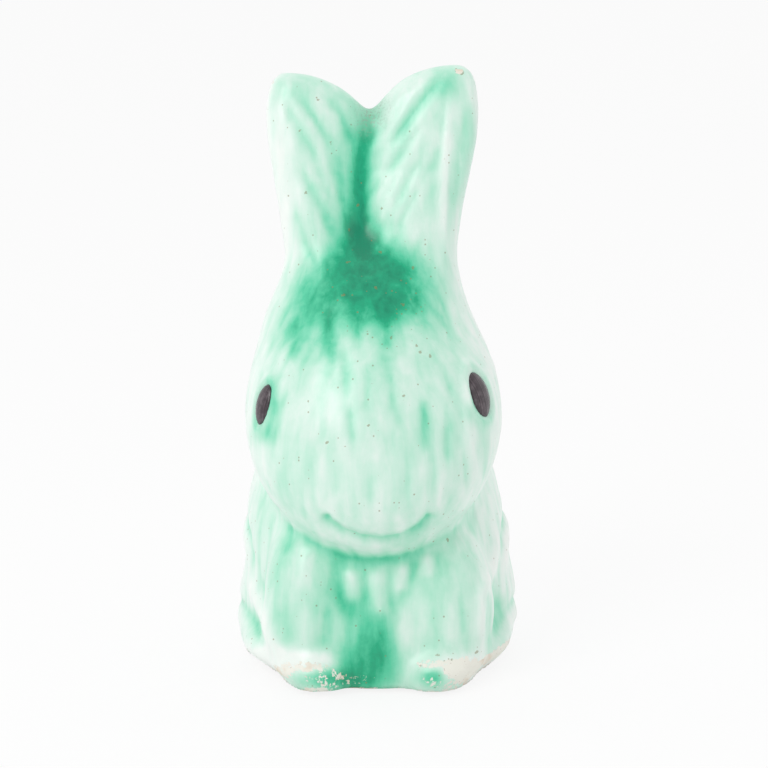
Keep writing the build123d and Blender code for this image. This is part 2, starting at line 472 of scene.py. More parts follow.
# Grooves and ridges that the photograph shows, by part: points and half width in pixels, height in mm,
# and how much the glaze pools there (below zero, how thin it runs)
STROKES = {
    "mouth": [
        ([(321, 513), (329, 523), (341, 532), (358, 539), (380, 542), (402, 539), (419, 530),
          (428, 521), (434, 512)], 5.4, -0.82, 0.20),
    ],
    "face": [
        # roll of the chin
        ([(318, 530), (345, 544), (380, 549), (410, 545), (440, 530)], 6.0, 0.15, -0.05),
        # edge of the face beside the left eye
        ([(469, 340), (468, 400), (471, 450), (480, 498)], 5.5, 0.30, -0.14),
        ([(482, 425), (483, 460), (486, 492)], 7.0, -0.14, 0.14),
        # drips at the lower edge of the cap
        ([(329, 300), (330, 340), (331, 376)], 5.0, -0.05, 0.34),
        ([(387, 304), (388, 356)], 4.4, -0.05, 0.30),
        ([(298, 312), (293, 364)], 6.0, -0.05, 0.20),
        ([(357, 306), (358, 344)], 4.4, -0.05, 0.16),
        # strokes of fur
        ([(367, 380), (367, 416)], 4.8, -0.12, 0.10),
        ([(389, 372), (394, 402), (401, 430)], 5.2, -0.16, 0.16),
        ([(424, 390), (424, 462)], 4.6, -0.22, 0.22),
        ([(447, 418), (449, 466)], 4.0, -0.20, 0.18),
        ([(449, 380), (453, 410)], 4.4, -0.10, 0.08),
        ([(342, 338), (346, 368), (344, 400)], 5.0, -0.14, 0.16),
        ([(312, 430), (314, 500)], 5.4, -0.12, 0.10),
        ([(336, 450), (335, 500)], 4.8, -0.10, 0.08),
        ([(369, 448), (371, 512)], 5.0, -0.10, 0.07),
        ([(407, 440), (407, 510)], 5.2, -0.14, 0.11),
        ([(435, 445), (430, 498)], 4.6, -0.10, 0.07),
        ([(462, 445), (466, 490)], 4.6, -0.10, 0.07),
        ([(350, 402), (354, 448)], 5.0, -0.10, 0.07),
        ([(386, 348), (391, 392)], 5.2, -0.12, 0.12),
        ([(322, 390), (324, 446)], 5.0, -0.08, 0.05),
        ([(392, 422), (392, 466)], 5.0, -0.08, 0.05),
    ],
    "ear": [
        # strokes of fur on the rabbit's right ear
        ([(280, 96), (296, 122), (306, 140), (324, 166)], 5.2, -0.24, 0.24),
        ([(294, 90), (316, 120), (336, 156)], 4.6, -0.22, 0.20),
        ([(324, 90), (341, 114), (353, 150)], 5.0, -0.24, 0.24),
        ([(296, 158), (315, 197), (325, 219), (336, 244)], 5.2, -0.26, 0.24),
        ([(292, 200), (305, 242), (318, 276)], 5.0, -0.22, 0.20),
        ([(328, 146), (338, 188), (344, 218)], 4.6, -0.14, 0.08),
        ([(306, 146), (322, 178), (334, 208)], 4.4, -0.14, 0.12),
        ([(278, 110), (282, 190), (290, 240)], 5.0, 0.16, -0.10),
        # strokes of fur on the rabbit's left ear
        ([(448, 70), (424, 97), (408, 122), (388, 152)], 6.0, -0.34, 0.34),
        ([(424, 120), (405, 150), (386, 178)], 4.8, -0.18, 0.15),
        ([(426, 148), (408, 180), (390, 212)], 5.4, -0.18, 0.15),
        ([(422, 182), (406, 212), (394, 238)], 4.8, -0.14, 0.12),
        ([(444, 96), (438, 155), (426, 214)], 5.0, -0.12, 0.12),
        ([(388, 112), (381, 145), (377, 180)], 4.6, -0.10, 0.04),
        ([(457, 78), (450, 116), (446, 160), (444, 205), (445, 262)], 4.4, 0.36, -0.14),
        ([(470, 90), (465, 130), (460, 170), (454, 226)], 6.5, -0.32, 0.26),
    ],
    "body": [
        # tufts of the chest and the grooves between them
        ([(350, 566), (355, 606)], 7.5, 0.50, -0.12),
        ([(376, 562), (380, 622)], 8.0, 0.55, -0.16),
        ([(403, 560), (400, 596)], 7.5, 0.45, -0.14),
        ([(426, 552), (428, 580)], 6.5, 0.28, -0.14),
        ([(306, 548), (297, 596)], 8.0, 0.28, -0.14),
        ([(330, 556), (340, 594), (358, 622)], 8.5, -0.34, 0.13),
        ([(363, 560), (367, 610)], 5.4, -0.28, 0.04),
        ([(390, 560), (391, 614)], 5.4, -0.28, 0.04),
        ([(418, 552), (408, 588), (390, 616)], 6.5, -0.28, 0.05),
        ([(438, 546), (444, 584)], 6.0, -0.18, 0.10),
        ([(457, 512), (452, 560)], 5.4, -0.14, 0.08),
        ([(472, 500), (468, 566)], 5.4, -0.16, 0.08),
        ([(445, 592), (440, 648)], 5.4, -0.10, 0.06),
        ([(464, 584), (460, 646)], 5.4, -0.12, 0.06),
        # flank on the rabbit's right
        ([(286, 530), (276, 566), (266, 598)], 5.6, -0.24, 0.18),
        ([(294, 508), (288, 560)], 5.6, -0.18, 0.12),
        ([(268, 490), (260, 550)], 6.0, -0.12, 0.06),
        ([(279, 600), (283, 656)], 6.5, -0.22, 0.12),
        ([(297, 592), (294, 652)], 6.5, -0.10, 0.06),
        ([(328, 598), (321, 656)], 8.0, -0.34, 0.14),
        # haunches: the ridge in front of each and the groove behind it
        ([(247, 570), (261, 610), (270, 637), (283, 668)], 5.0, 0.75, -0.26),
        ([(248, 600), (255, 630), (266, 658)], 8.0, -0.36, 0.14),
        ([(501, 530), (491, 570), (481, 597), (480, 625), (480, 668)], 5.0, 0.55, -0.16),
        ([(499, 580), (492, 624), (488, 660)], 8.0, -0.32, 0.18),
        ([(505, 590), (500, 640)], 4.4, -0.18, 0.08),
    ],
}
# How much of its length a stroke fades over, how much wider its pooling is, and how much of it is left
PLAIN_STROKE = (0.3, 1.35, 0.9)
STROKE_KINDS = {"mouth": (0.06, 1.1, 0.9), "ear": (0.3, 1.35, 0.72)}
for part, strokes in STROKES.items():
    taper, wider, share = STROKE_KINDS.get(part, PLAIN_STROKE)
    for line, width, height, pooled_and_painted_light in strokes:
        shape = stroke(pixels, line, width, taper) * PARTS[part]
        relief += height * shape
        soft = stroke(pixels, line, width * wider, taper) * PARTS[part]
        glaze_pool_and_painted_light += pooled_and_painted_light * share * soft

# Wide pools of glaze, as soft ovals, and one oval of painted shade: part, middle and radii in pixels, and
# how much it pools
POOLS = [
    ("head", (364, 266), (30, 34), 0.78),
    ("head", (352, 292), (44, 26), 0.40),
    ("head", (404, 290), (27, 30), 0.60),
    ("head", (316, 296), (28, 24), 0.36),
    ("head", (302, 322), (20, 20), 0.22),
    ("head", (328, 332), (12, 22), 0.26),
    ("head", (356, 322), (16, 18), 0.26),
    ("head", (388, 316), (14, 20), 0.20),
    ("head", (372, 308), (36, 16), 0.22),
    ("head", (300, 346), (30, 22), 0.18),
    ("head", (280, 336), (14, 20), 0.14),
    ("face", (345, 378), (34, 16), 0.10),
    ("face", (305, 432), (28, 26), -0.05),
    ("head", (385, 350), (14, 24), 0.14),
    ("head", (432, 300), (22, 34), 0.14),
    ("head", (425, 340), (30, 30), 0.06),
    ("ear", (362, 250), (22, 28), 0.46),
    ("ear", (352, 190), (20, 75), 0.32),
    ("ear", (400, 264), (22, 16), 0.24),
    ("ear", (330, 262), (18, 14), 0.14),
    ("ear", (292, 92), (18, 12), 0.18),
    ("ear", (448, 86), (14, 16), 0.34),
    ("ear", (278, 170), (14, 90), -0.14),
    ("ear", (400, 200), (18, 60), -0.05),
    ("ear", (290, 190), (13, 34), -0.08),
    ("body", (374, 652), (25, 40), 0.60),
    ("body", (372, 664), (32, 26), 0.26),
    ("body", (350, 672), (18, 18), 0.34),
    ("body", (406, 640), (14, 26), -0.16),
    ("body", (420, 582), (16, 16), 0.12),
    ("body", (336, 596), (34, 34), 0.14),
    ("body", (378, 604), (34, 36), 0.16),
    ("body", (378, 560), (60, 10), 0.14),
    ("body", (436, 592), (18, 44), 0.11),
    ("body", (466, 600), (12, 44), 0.07),
    ("body", (282, 560), (40, 60), 0.08),
    ("body", (300, 620), (44, 26), 0.04),
    ("body", (406, 622), (20, 30), -0.14),
    ("body", (310, 620), (18, 22), -0.06),
    # painted shade: the rabbit's left flank, away from the key light, a little darker
    ("body", (476, 574), (11, 30), 0.06),
    ("body", (292, 660), (40, 9), -0.40),
    ("body", (268, 652), (18, 10), -0.25),
    ("body", (331, 680), (30, 9), 0.62),
    ("body", (458, 668), (34, 11), -0.35),
    ("body", (433, 677), (13, 9), 0.60),
    ("face", (320, 400), (40, 34), -0.04),
    ("face", (285, 470), (18, 40), 0.10),
    ("face", (440, 400), (34, 70), 0.06),
    ("face", (273, 402), (8, 27), 0.42),
    ("face", (265, 434), (14, 11), 0.32),
    ("face", (470, 414), (7, 14), 0.24),
    ("face", (484, 424), (10, 9), 0.16),
]
for part, middle, radii, pooled_and_painted_light in POOLS:
    glaze_pool_and_painted_light += pooled_and_painted_light * np.exp(-oval(middle, radii)) * PARTS[part]

# The valley between the ears, with grey dust in its top
VALLEY = [(372, 104), (367, 130), (362, 160), (360, 205), (359, 245)]
VALLEY_WIDTH, VALLEY_ROWS, VALLEY_POOL = 8.5, (108, 140), 0.62
DUST_WIDTH, DUST_ROWS, DUST_POOL = 14, (118, 146), 0.22
deep = stroke(pixels, VALLEY, VALLEY_WIDTH, 0) * PARTS["ear"]
glaze_pool_and_painted_light += VALLEY_POOL * deep * smooth_step(*VALLEY_ROWS, pixels[:, 1])
dusty = stroke(pixels, VALLEY, DUST_WIDTH, 0) * PARTS["ear"] * (1 - smooth_step(*DUST_ROWS, pixels[:, 1]))
glaze_pool_and_painted_light += DUST_POOL * dusty


# ---- fur all over: short grooves and ridges that follow the coat, deeper where the photograph doesn't look
def flow(points, normals):
    """The way the fur lies: fanning up the ears, straight down the face, down and back over the trunk."""
    x, y, z = points.T
    ear = smooth_step(60, 68, z)
    fan = -0.5 * np.sign(x + 1.2) * (1 - smooth_step(8, 13, np.abs(x)))
    across = ear * fan + (1 - ear) * 0.012 * x
    back = np.where(z > 60, 0.0, 0.45 * smooth_step(-0.2, 0.5, normals @ VIEW))
    way = np.stack([across, back, -np.ones(len(points))], 1)
    way -= (way * normals).sum(1)[:, None] * normals
    return way / np.linalg.norm(way, axis=1)[:, None]


SCATTER_TRIES = 6000


def scatter(chosen, spacing, count, rng):
    """Some of the chosen vertices, none nearer to each other than the spacing."""
    picked = np.zeros((0, 3))
    numbers = []
    for number in rng.permutation(chosen)[:SCATTER_TRIES]:
        if len(numbers) == count:
            break
        if len(numbers) == 0 or np.linalg.norm(picked - base[number], axis=1).min() > spacing:
            picked = np.vstack([picked, base[number]])
            numbers.append(number)
    return numbers


# Thighs, hind feet and shoulders, drawn on each flank: line as back and height in mm, half width,
# height and pooling
flank = smooth_step(0.25, 0.55, np.abs(normal[:, 0])) * smooth_step(-0.5, -0.1, normal[:, 1])
FLANKS = [
    ([(-9, 7), (-8, 15), (-3, 21.5), (5, 24.5), (13, 23), (19, 17), (22, 9)], 1.1, -0.62, 0.22),
    ([(-6, 8), (-5, 14), (-1, 19), (5, 21.8), (12, 20.4), (17, 15), (19.5, 9)], 1.7, 0.42, -0.12),
    ([(-15, 5), (-9, 8.2), (-2, 9.2), (5, 8.4), (10, 5.5)], 0.9, -0.50, 0.20),
    ([(-13, 3.5), (-6, 6.2), (0, 6.6), (7, 5)], 1.3, 0.30, -0.10),
    ([(-6, 31), (-9.5, 25), (-11, 18), (-10.5, 11)], 1.6, -0.16, 0.04),
]
side_view = base[:, 1:]
for line, width, height, pooled_and_painted_light in FLANKS:
    shape = stroke(side_view, line, width, 0.25) * flank
    relief += height * shape
    glaze_pool_and_painted_light += pooled_and_painted_light * shape
# The tail's ring, seen from behind
TAIL_MIDDLE = 12.5
TAIL_SQUASH = 0.92
TAIL_RING = 7.4
behind = smooth_step(0.1, 0.5, normal[:, 1])
ring = np.hypot(base[:, 0], (base[:, 2] - TAIL_MIDDLE) * TAIL_SQUASH)
relief += behind * (0.75 * np.exp(-((ring / 5.2) ** 4)) - 0.70 * hump(ring, TAIL_RING, 1.1))
glaze_pool_and_painted_light += behind * (0.24 * hump(ring, TAIL_RING, 1.3) - 0.08 * hump(ring, 0, 5))

rng = np.random.default_rng(7)
ways = flow(base, normal)
hidden = smooth_step(-0.25, 0.05, normal @ VIEW) * smooth_step(3, 6, base[:, 2])
shown = facing * smooth_step(6, 10, base[:, 2])
# Which vertices, spacing, how many, lengths, half widths, depths and pooling
COATS = [
    (hidden, 2.4, 520, (5.0, 12.0), (0.50, 0.85), (-0.24, -0.08), (0.03, 0.14)),
    (hidden, 2.8, 300, (5.0, 11.0), (0.60, 0.95), (0.05, 0.16), (-0.09, -0.03)),
    (shown, 2.6, 320, (3.5, 8.0), (0.5, 0.85), (-0.09, -0.03), (0.02, 0.08)),
    (shown, 2.6, 240, (3.5, 8.0), (0.5, 0.85), (0.02, 0.07), (-0.07, -0.02)),
]
for where, spacing, count, lengths, widths, heights, pooling in COATS:
    for number in scatter(np.where(where > 0.7)[0], spacing, count, rng):
        length = rng.uniform(*lengths)
        middle, way = base[number], ways[number]
        close = np.where(np.abs(base - middle).max(1) < length)[0]
        ends = [middle - way * length / 2, middle + way * length / 2]
        shape = stroke(base[close], ends, rng.uniform(*widths), 0.4)
        shape *= where[close] * (normal[close] @ normal[number] > 0.3)
        relief[close] += rng.uniform(*heights) * shape
        glaze_pool_and_painted_light[close] += rng.uniform(*pooling) * shape

# ---- eyes: where the photograph shows them, on the head's own surface, lengths in mm and leans in pixels
EYES = {
    "left_eye": {"pixel": (480.5, 393), "length": 7.4, "width": 4.9, "lean": (-15, -42)},
    "right_eye": {"pixel": (262, 404), "length": 6.5, "width": 3.7, "lean": (9, -37)},
}
SOCKET_DEPTH = 0.55
SOCKET_RIM = 0.22
front = np.where(PARTS["face"] > 0.02)[0]
for eye in EYES.values():
    nearest = front[np.argmin(np.linalg.norm(pixels[front] - eye["pixel"], axis=1))]
    centre, out = base[nearest], normal[nearest]
    up_way = np.array([0, 0, 1.0])
    up_way = up_way - (up_way @ out) * out
    up_way /= np.linalg.norm(up_way)
    side_way = np.cross(up_way, out)
    step = seen(np.stack([centre, centre + up_way, centre + side_way]))
    grid = np.stack([step[1] - step[0], step[2] - step[0]], 1)
    a, b = np.linalg.solve(grid, np.array(eye["lean"], float))
    long_way = a * up_way + b * side_way
    long_way /= np.linalg.norm(long_way)
    eye.update(centre=centre, out=out, long=long_way, wide=np.cross(long_way, out))
    q = base - centre
    reach = np.hypot((q @ eye["long"]) / (eye["length"] / 2), (q @ eye["wide"]) / (eye["width"] / 2))
    reach = np.where(np.abs(q @ out) < 4, reach, 9)
    relief += -SOCKET_DEPTH * (1 - smooth_step(0.9, 1.2, reach)) + SOCKET_RIM * hump(reach, 1.45, 0.22)
    glaze_pool_and_painted_light += 0.20 * hump(reach, 1.22, 0.2)

# ---- the crease under the chin and round the head
crease = hump(np.maximum(np.abs(head_near), np.abs(body_near)), 0, 1.3) * (1 - ear_part)
glaze_pool_and_painted_light += 0.03 * crease + 0.52 * crease * hump(pixels[:, 0], 364, 66) * facing

made = base + relief[:, None] * normal

# ---- hollows hold more glaze and edges less, at two sizes, each as pooling per mm
SMALL_HOLLOWS = 0.8
WIDE_HOLLOWS = 0.22
SMALL_EDGES = 0.9
SIDES_THIN_GLAZE_AND_RIM_HIGHLIGHT = 0.10
turns = max(round(10 * (0.4 / PITCH) ** 2), 2)
near_mean = spread(made, links, turns)
far_mean = spread(near_mean, links, 6 * turns)
near_hollow = ((near_mean - made) * normal).sum(1)
far_hollow = ((far_mean - made) * normal).sum(1)
glaze_pool_and_painted_light += SMALL_HOLLOWS * np.clip(near_hollow, 0, 0.3) + WIDE_HOLLOWS * np.clip(far_hollow + 0.1, 0, 0.8)
# paler sides facing left and right: partly thinner glaze, partly a painted highlight of the bright rim light
glaze_pool_and_painted_light -= SIDES_THIN_GLAZE_AND_RIM_HIGHLIGHT * smooth_step(0.55, 0.9, np.abs(normal[:, 0])) * smooth_step(3, 8, base[:, 2])
glaze_pool_and_painted_light -= SMALL_EDGES * np.clip(-near_hollow - 0.06, 0, 0.25)
# Some glaze everywhere, and a deep pool levels off above the knee
POOL_LEAST = 0.215
POOL_KNEE = 0.55
POOL_ROOM = 0.47
glaze_pool_and_painted_light += POOL_LEAST
levelled = POOL_KNEE + POOL_ROOM * (1 - np.exp((POOL_KNEE - glaze_pool_and_painted_light) / POOL_ROOM))
glaze_pool_and_painted_light = np.where(glaze_pool_and_painted_light > POOL_KNEE, levelled, glaze_pool_and_painted_light)
glaze_pool_and_painted_light = spread(np.clip(glaze_pool_and_painted_light, 0, 1), links, 1)[:, 0]

# ---- wear: clay or thin white glaze at the foot and the ear tips, as ovals like the pools
WORN = [
    ("body", (300, 667), (34, 6), 0.56),
    ("body", (282, 671), (14, 7), 0.62),
    ("body", (334, 680), (38, 10), 0.40),
    ("body", (318, 690), (30, 3), 0.55),
    ("body", (464, 670), (20, 13), 0.80),
    ("body", (434, 664), (18, 5), 0.56),
    ("body", (440, 682), (24, 8), 0.42),
    ("ear", (271, 80), (4, 4), 0.62),
    ("ear", (459, 71), (4, 3), 0.70),
]
WORN_EDGE = [(480, 664), (497, 655), (510, 642)]
wear = np.zeros(len(base))
for part, middle, radii, amount in WORN:
    wear = np.maximum(wear, amount * np.exp(-(oval(middle, radii) ** 2) * 0.5) * PARTS[part])
wear = np.maximum(wear, 0.85 * stroke(pixels, WORN_EDGE, 5, 0) * PARTS["body"])
wear = np.maximum(wear, 0.9 * (1 - smooth_step(1.0, 3.0, base[:, 2])) * (1 - facing))
wear = np.maximum(wear, 0.5 * (1 - smooth_step(0.8, 2.0, base[:, 2])))

# Larger specks of iron, in pixels: middle and radius
IRON = [
    (462, 73, 2.4), (457, 70, 1.4), (271, 79, 1.6), (466, 666, 2.4), (452, 660, 1.6), (438, 655, 1.4),
    (476, 652, 1.3), (348, 262, 1.8), (403, 304, 1.6), (413, 268, 1.8), (380, 252, 1.5), (343, 295, 1.6),
    (420, 352, 1.6), (416, 346, 1.4), (430, 356, 1.5), (404, 396, 1.4), (410, 404, 1.3), (369, 425, 1.3),
    (349, 230, 1.4), (330, 143, 1.4), (306, 193, 1.4), (318, 100, 1.3), (382, 208, 1.2), (448, 540, 1.4),
    (300, 130, 1.2), (346, 447, 1.3), (327, 442, 1.2), (372, 384, 1.2), (392, 338, 1.6), (376, 288, 1.5),
    (358, 205, 1.3),
]
iron = np.zeros(len(base))
for x, y, radius in IRON:
    away = np.linalg.norm(pixels - (x, y), axis=1)
    iron = np.maximum(iron, facing * hump(away, 0, 0.7 * radius + 0.9))

# Where small specks are thick: middle and radii in pixels
SPECKLED = [((415, 300), (60, 60)), ((330, 680), (38, 11)), ((455, 664), (36, 16))]
specks = np.full(len(base), 0.25)
for middle, radii in SPECKLED:
    specks += 0.75 * np.exp(-oval(middle, radii)) * facing

# ---- the glaze as a piece, with a ragged lower edge
turn = np.arctan2(base[:, 1], base[:, 0])
foot_line = GLAZE_FOOT + 0.14 * np.sin(3 * turn + 1) + 0.10 * np.sin(7 * turn + 2) + 0.07 * np.sin(13 * turn)
used, faces = trimmed(made, quads, base[:, 2] > foot_line)
sides = np.concatenate([faces[:, [k, (k + 1) % 4]] for k in range(4)])
key = sides[:, 0] * len(used) + sides[:, 1]
rim = sides[~np.isin(key, sides[:, 1] * len(used) + sides[:, 0])]
rim_points = np.unique(rim)
shape = made[used]
shape[rim_points, 2] = foot_line[used][rim_points]
inner = shape[rim_points] - normal[used][rim_points] * (GLAZE_LIP, GLAZE_LIP, 0)
number_of = np.full(len(used), -1)
number_of[rim_points] = np.arange(len(rim_points)) + len(used)
lip = np.stack([rim[:, 1], rim[:, 0], number_of[rim[:, 0]], number_of[rim[:, 1]]], 1)
faces = np.concatenate([faces, lip])
used = np.concatenate([used, used[rim_points]])
glaze = to_mesh("glaze_skin", np.concatenate([shape, inner]), faces, {
    "glaze_pool_and_painted_light": glaze_pool_and_painted_light[used], "wear": wear[used], "specks": specks[used], "dusty": dusty[used], "iron": iron[used],
})
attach(glaze, "root")
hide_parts("glaze_coat")


# ---- the clay inside it, with the drained hollow and the pour hole
def clay_field(points):
    """About how far each point lies outside the hollow clay."""
    inset = CLAY_INSET + CLAY_INSET_ABOVE_FOOT * smooth_step(3, 7, points[:, 2])
    outer = smooth_max(rabbit_field(points) + inset, -points[:, 2], CLAY_FOOT_BLEND)
    trunk, radii, _ = mass_size("trunk")
    nape, nape_radii, _ = mass_size("nape")
    hollow = np.minimum(egg(points, trunk, radii - WALL), egg(points, nape, nape_radii - WALL))
    hollow = np.minimum(hollow, egg(points, HEAD_CENTRE, HEAD_RADII - COAT - WALL, HEAD_LEAN))
    hollow = smooth_max(hollow, WALL - points[:, 2], CLAY_FOOT_BLEND)
    bore = np.hypot(points[:, 0], points[:, 1] - HOLE_BACK) - HOLE_RADIUS
    bore = np.maximum(bore, points[:, 2] - WALL - HOLE_REACH)
    return smooth_max(outer, -np.minimum(hollow, bore), HOLLOW_BLEND)


clay_points, clay_faces, _ = build_skin(clay_field, LOW, HIGH, CLAY_PITCH, 2)
clay = to_mesh("clay_casting", clay_points, clay_faces)
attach(clay, "root")
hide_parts("clay_body")


# ---- eyes: domed lenses with a slightly pointed oval rim
LENS_RINGS = 12
LENS_SIDES = 48
# The dome's rise in mm, then the rings of the rim and back: share of the radii, and lift in mm
LENS_RISE = 0.52
LENS_BACK = [(1.04, -0.12), (1.0, -0.5), (0.6, -0.7)]
LENS_SUNK = 0.12
LENS_TOP = 0.42
LENS_BOTTOM = -0.85
# How much narrower the oval is towards its pointed ends
LENS_POINT = 0.16


def lens(name, eye):
    """A domed oval lens on the head's surface, with its rim and back sunk in the socket."""
    dome = np.linspace(0.0, 1.0, LENS_RINGS + 1)[1:]
    rings = list(zip(dome, LENS_RISE * (1 - dome ** 2.4) ** 0.8)) + LENS_BACK
    around = np.arange(LENS_SIDES) * 2 * np.pi / LENS_SIDES
    points = []
    for ring, lift in rings:
        u = np.cos(around) * eye["length"] / 2 * ring
        v = np.sin(around) * (1 - LENS_POINT * np.cos(around) ** 4) * eye["width"] / 2 * ring
        flat = eye["centre"] + np.outer(u, eye["long"]) + np.outer(v, eye["wide"])
        value, rise = slope(rabbit_field, flat)
        size = np.maximum(np.linalg.norm(rise, axis=1), 0.2)
        points.append(flat + ((lift - LENS_SUNK - value / size)[:, None]) * eye["out"])
    top = eye["centre"] + eye["out"] * LENS_TOP
    back = eye["centre"] + eye["out"] * LENS_BOTTOM
    points = np.concatenate([*points, [top], [back]])
    faces = []
    for ring in range(len(rings) - 1):
        for k in range(LENS_SIDES):
            a, b = ring * LENS_SIDES + k, ring * LENS_SIDES + (k + 1) % LENS_SIDES
            faces.append((a, a + LENS_SIDES, b + LENS_SIDES, b))
    last, top_number = (len(rings) - 1) * LENS_SIDES, len(rings) * LENS_SIDES
    faces += [(top_number, k, (k + 1) % LENS_SIDES) for k in range(LENS_SIDES)]
    faces += [(top_number + 1, last + (k + 1) % LENS_SIDES, last + k) for k in range(LENS_SIDES)]
    mesh = bpy.data.meshes.new(name)
    mesh.from_pydata((points * MM).tolist(), [], faces)
    mesh.update()
    mesh.shade_smooth()
    add_layer(mesh, "along", (points - eye["centre"]) @ eye["wide"] / eye["width"])
    return placed(name, mesh)


lenses = {}
for node, eye in EYES.items():
    lenses[node] = lens(node + "_lens", eye)
    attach(lenses[node], "root")
    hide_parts(node)


# ---- materials
def linear(r, g, b):
    """A colour written as it shows on screen, 0 to 255, as Blender's own values."""
    c = np.array([r, g, b]) / 255
    return (*np.where(c <= 0.04045, c / 12.92, ((c + 0.055) / 1.055) ** 2.4), 1.0)


class Tree:
    """A short way to write a node tree."""

    def __init__(self, name):
        self.material = bpy.data.materials.new(name)
        self.material.use_nodes = True
        self.nodes = self.material.node_tree.nodes
        self.links = self.material.node_tree.links
        self.shader = self.nodes["Principled BSDF"]
        self.place = self.nodes.new("ShaderNodeTexCoord").outputs["Object"]

    def put(self, socket, value):
        """Links an output to an input, or sets the input to a constant."""
        if isinstance(value, bpy.types.NodeSocket):
            self.links.new(value, socket)
        else:
            socket.default_value = value

    def node(self, kind, output=0, settings=(), **inputs):
        """A new node's output. An input is named in lower case, or numbered as i0, i1 and so on."""
        made = self.nodes.new(kind)
        for key, value in dict(settings).items():
            setattr(made, key, value)
        for key, value in inputs.items():
            name = int(key[1:]) if key[1:].isdigit() else key.replace("_", " ").title()
            self.put(made.inputs[name], value)
        return made.outputs[output]

    def math(self, operation, a, b=0.0, c=0.0):
        return self.node("ShaderNodeMath", 0, {"operation": operation}, i0=a, i1=b, i2=c)

    def attribute(self, name):
        return self.node("ShaderNodeAttribute", 2, {"attribute_name": name})

    def noise(self, scale, detail=2.0, roughness=0.5, stretch=(1, 1, 1), distortion=0.0):
        place = self.node("ShaderNodeMapping", 0, {}, vector=self.place, scale=stretch)
        return self.node(
            "ShaderNodeTexNoise", 0, {}, vector=place, scale=scale, detail=detail, roughness=roughness,
            distortion=distortion,
        )

    def swing(self, noise, much, value):
        """A value with a noise added, that swings it down and up by half as much."""
        return self.math("MULTIPLY_ADD", self.math("SUBTRACT", noise, 0.5), much, value)

    def band(self, value, low, high):
        """0 below low, 1 above high, smooth between."""
        smooth = {"interpolation_type": "SMOOTHSTEP"}
        return self.node("ShaderNodeMapRange", 0, smooth, value=value, from_min=low, from_max=high)

    def ramp(self, value, stops):
        """A colour for each value, its stops as they show on screen."""
        made = self.nodes.new("ShaderNodeValToRGB")
        ramp = made.color_ramp
        ramp.interpolation = "LINEAR"
        while len(ramp.elements) < len(stops):
            ramp.elements.new(0.5)
        for element, (at, color) in zip(ramp.elements, stops):
            element.position = at
            element.color = linear(*color)
        self.links.new(value, made.inputs[0])
        return made.outputs[0]

    def mix(self, share, a, b):
        made = self.nodes.new("ShaderNodeMix")
        made.data_type = "RGBA"
        self.put(made.inputs[0], share)
        self.put(made.inputs[6], a)
        self.put(made.inputs[7], b)
        return made.outputs[2]

    def finished(self, color, roughness, height, strength, distance):
        """The material, once its shader has a colour, a roughness and a bump."""
        bump = self.node("ShaderNodeBump", 0, {}, strength=strength, distance=distance, height=height)
        for name, value in (("Base Color", color), ("Roughness", roughness), ("Normal", bump)):
            self.put(self.shader.inputs[name], value)
        return self.material


# How the glaze looks from bare of pooling to the deepest pool, as on screen
GLAZE_STOPS = [
    (0.00, (246, 252, 247)), (0.12, (232, 249, 240)), (0.28, (204, 242, 224)), (0.42, (172, 234, 207)),
    (0.56, (132, 223, 188)), (0.70, (86, 208, 165)), (0.84, (22, 176, 130)), (1.00, (0, 140, 104)),
]
DUST_COLOR = (150, 180, 160)
IRON_COLOR = (138, 122, 66)
WORN_COLORS = (246, 244, 234), (233, 217, 197)
WORN_DOT_COLOR = (150, 120, 90)
IRON_CELLS = 1250
IRON_RADIUS = 0.25


